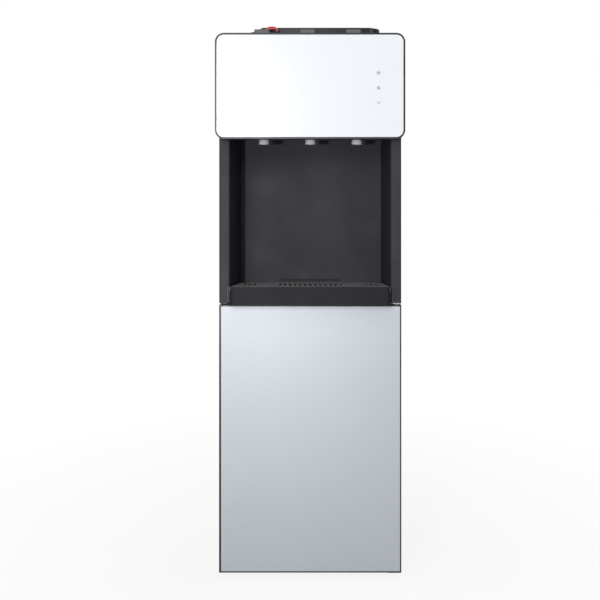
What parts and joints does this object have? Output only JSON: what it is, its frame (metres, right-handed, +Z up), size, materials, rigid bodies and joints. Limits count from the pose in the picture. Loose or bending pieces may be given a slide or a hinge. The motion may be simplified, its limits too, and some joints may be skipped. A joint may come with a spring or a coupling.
{
  "type": "bottom load water cooler",
  "caption": "Floor-standing bottom-load water cooler: white-fronted head with push buttons on top, black dispensing recess with drip tray, silver door before the bottle space.",
  "frame": {"origin": "on the floor, in the middle of the object's outer box", "axes": "+Z up, the front with the door faces -Y, +X to the right of someone who faces the front"},
  "size_m": [0.361, 0.3699, 1.0682],
  "materials": {
    "casing_black": "satin black paint",
    "moulding_black": "fine satin, charcoal black",
    "service_black": "fine grain",
    "head_white": "smooth white, back-painted",
    "door_silver": "smooth silver grey",
    "spout_white": "smooth",
    "tap_white": "satin",
    "button_grey": "smooth grey",
    "lock_red": "smooth red",
    "switch_green": "smooth green",
    "indicator_grey": "printed",
    "board_green": "solder mask",
    "spring_steel": "drawn wire",
    "stainless": "brushed",
    "foam_white": "bead foam",
    "zinc_sheet": "zinc plated",
    "machine_black": "black enamel",
    "rubber_black": "matt",
    "copper": "drawn copper",
    "hose_clear": "milky",
    "pump_white": "satin",
    "probe_white": "satin",
    "liner_grey": "fine grain"
  },
  "bodies": {
    "cabinet": {"left_side_panel": "casing_black", "right_side_panel": "casing_black", "rear_panel": "casing_black", "head_frame": "moulding_black", "recess_moulding": "moulding_black", "top_cover": "moulding_black", "button_console": "moulding_black", "switch_bezel": "service_black", "mains_inlet": "service_black", "head_glass": "head_white", "hot_spout": "spout_white", "room_spout": "spout_white", "cold_spout": "spout_white", "hot_tap_body": "tap_white", "room_tap_body": "tap_white", "cold_tap_body": "tap_white", "indicator_windows": "indicator_grey", "indicator_board": "board_green", "hot_button_spring": "spring_steel", "room_button_spring": "spring_steel", "cold_button_spring": "spring_steel", "cold_tank": "stainless", "hot_tank": "stainless", "drain_pipe": "stainless", "cold_tank_jacket": "foam_white", "hot_tank_jacket": "foam_white", "machine_shelf": "zinc_sheet", "tank_shelf": "zinc_sheet", "lower_hinge": "zinc_sheet", "upper_hinge": "zinc_sheet", "heater_band": "zinc_sheet", "compressor": "machine_black", "condenser_tube": "machine_black", "condenser_wires": "machine_black", "condenser_brackets": "machine_black", "compressor_grommets": "rubber_black", "feet": "rubber_black", "refrigerant_lines": "copper", "filter_drier": "copper", "evaporator_coil": "copper", "probe_hose": "hose_clear", "delivery_hose": "hose_clear", "tap_feed_tubes": "hose_clear", "pump": "pump_white", "bottle_probe": "probe_white", "probe_holder": "probe_white", "base_pan": "liner_grey"},
    "door": {"door_frame": "moulding_black", "door_panel": "door_silver", "door_liner": "liner_grey", "door_magnet": "rubber_black"},
    "tray": {"drip_tray": "moulding_black"},
    "grille": {"drip_grille": "moulding_black"},
    "hot_push": {"hot_button": "button_grey"},
    "room_push": {"room_button": "button_grey"},
    "cold_push": {"cold_button": "button_grey"},
    "lock": {"child_lock": "lock_red"},
    "hot_rocker": {"hot_switch": "lock_red"},
    "cold_rocker": {"cold_switch": "switch_green"},
    "cap": {"drain_cap": "service_black"}
  },
  "joints": [
    {"name": "door_hinge", "type": "hinge", "parent": "cabinet", "child": "door", "pos_m": [0.167, -0.149, 0.2685], "axis": [0, 0, 1], "range_deg": [0, 110]},
    {"name": "tray_slide", "type": "slide", "parent": "cabinet", "child": "tray", "axis": [0, -1, 0], "range_m": [0, 0.2]},
    {"name": "grille_lift", "type": "slide", "parent": "tray", "child": "grille", "axis": [0, 0, 1], "range_m": [0, 0.04]},
    {"name": "hot_press", "type": "slide", "parent": "cabinet", "child": "hot_push", "axis": [0, 0, -1], "range_m": [0, 0.005], "stiffness_N_per_m": 400, "springref_m": -0.005, "deforming": ["hot_button_spring"]},
    {"name": "room_press", "type": "slide", "parent": "cabinet", "child": "room_push", "axis": [0, 0, -1], "range_m": [0, 0.005], "stiffness_N_per_m": 400, "springref_m": -0.005, "deforming": ["room_button_spring"]},
    {"name": "cold_press", "type": "slide", "parent": "cabinet", "child": "cold_push", "axis": [0, 0, -1], "range_m": [0, 0.005], "stiffness_N_per_m": 400, "springref_m": -0.005, "deforming": ["cold_button_spring"]},
    {"name": "lock_slide", "type": "slide", "parent": "hot_push", "child": "lock", "axis": [0, 1, 0], "range_m": [0, 0.004], "stiffness_N_per_m": 200, "springref_m": -0.003},
    {"name": "hot_rock", "type": "hinge", "parent": "cabinet", "child": "hot_rocker", "pos_m": [-0.15, 0.147, 0.945], "axis": [1, 0, 0], "range_deg": [0, 14]},
    {"name": "cold_rock", "type": "hinge", "parent": "cabinet", "child": "cold_rocker", "pos_m": [-0.15, 0.147, 0.915], "axis": [1, 0, 0], "range_deg": [0, 14]},
    {"name": "cap_turn", "type": "hinge", "parent": "cabinet", "child": "cap", "pos_m": [-0.15, 0.162, 0.85], "axis": [0, 1, 0], "continuous": true}
  ]
}
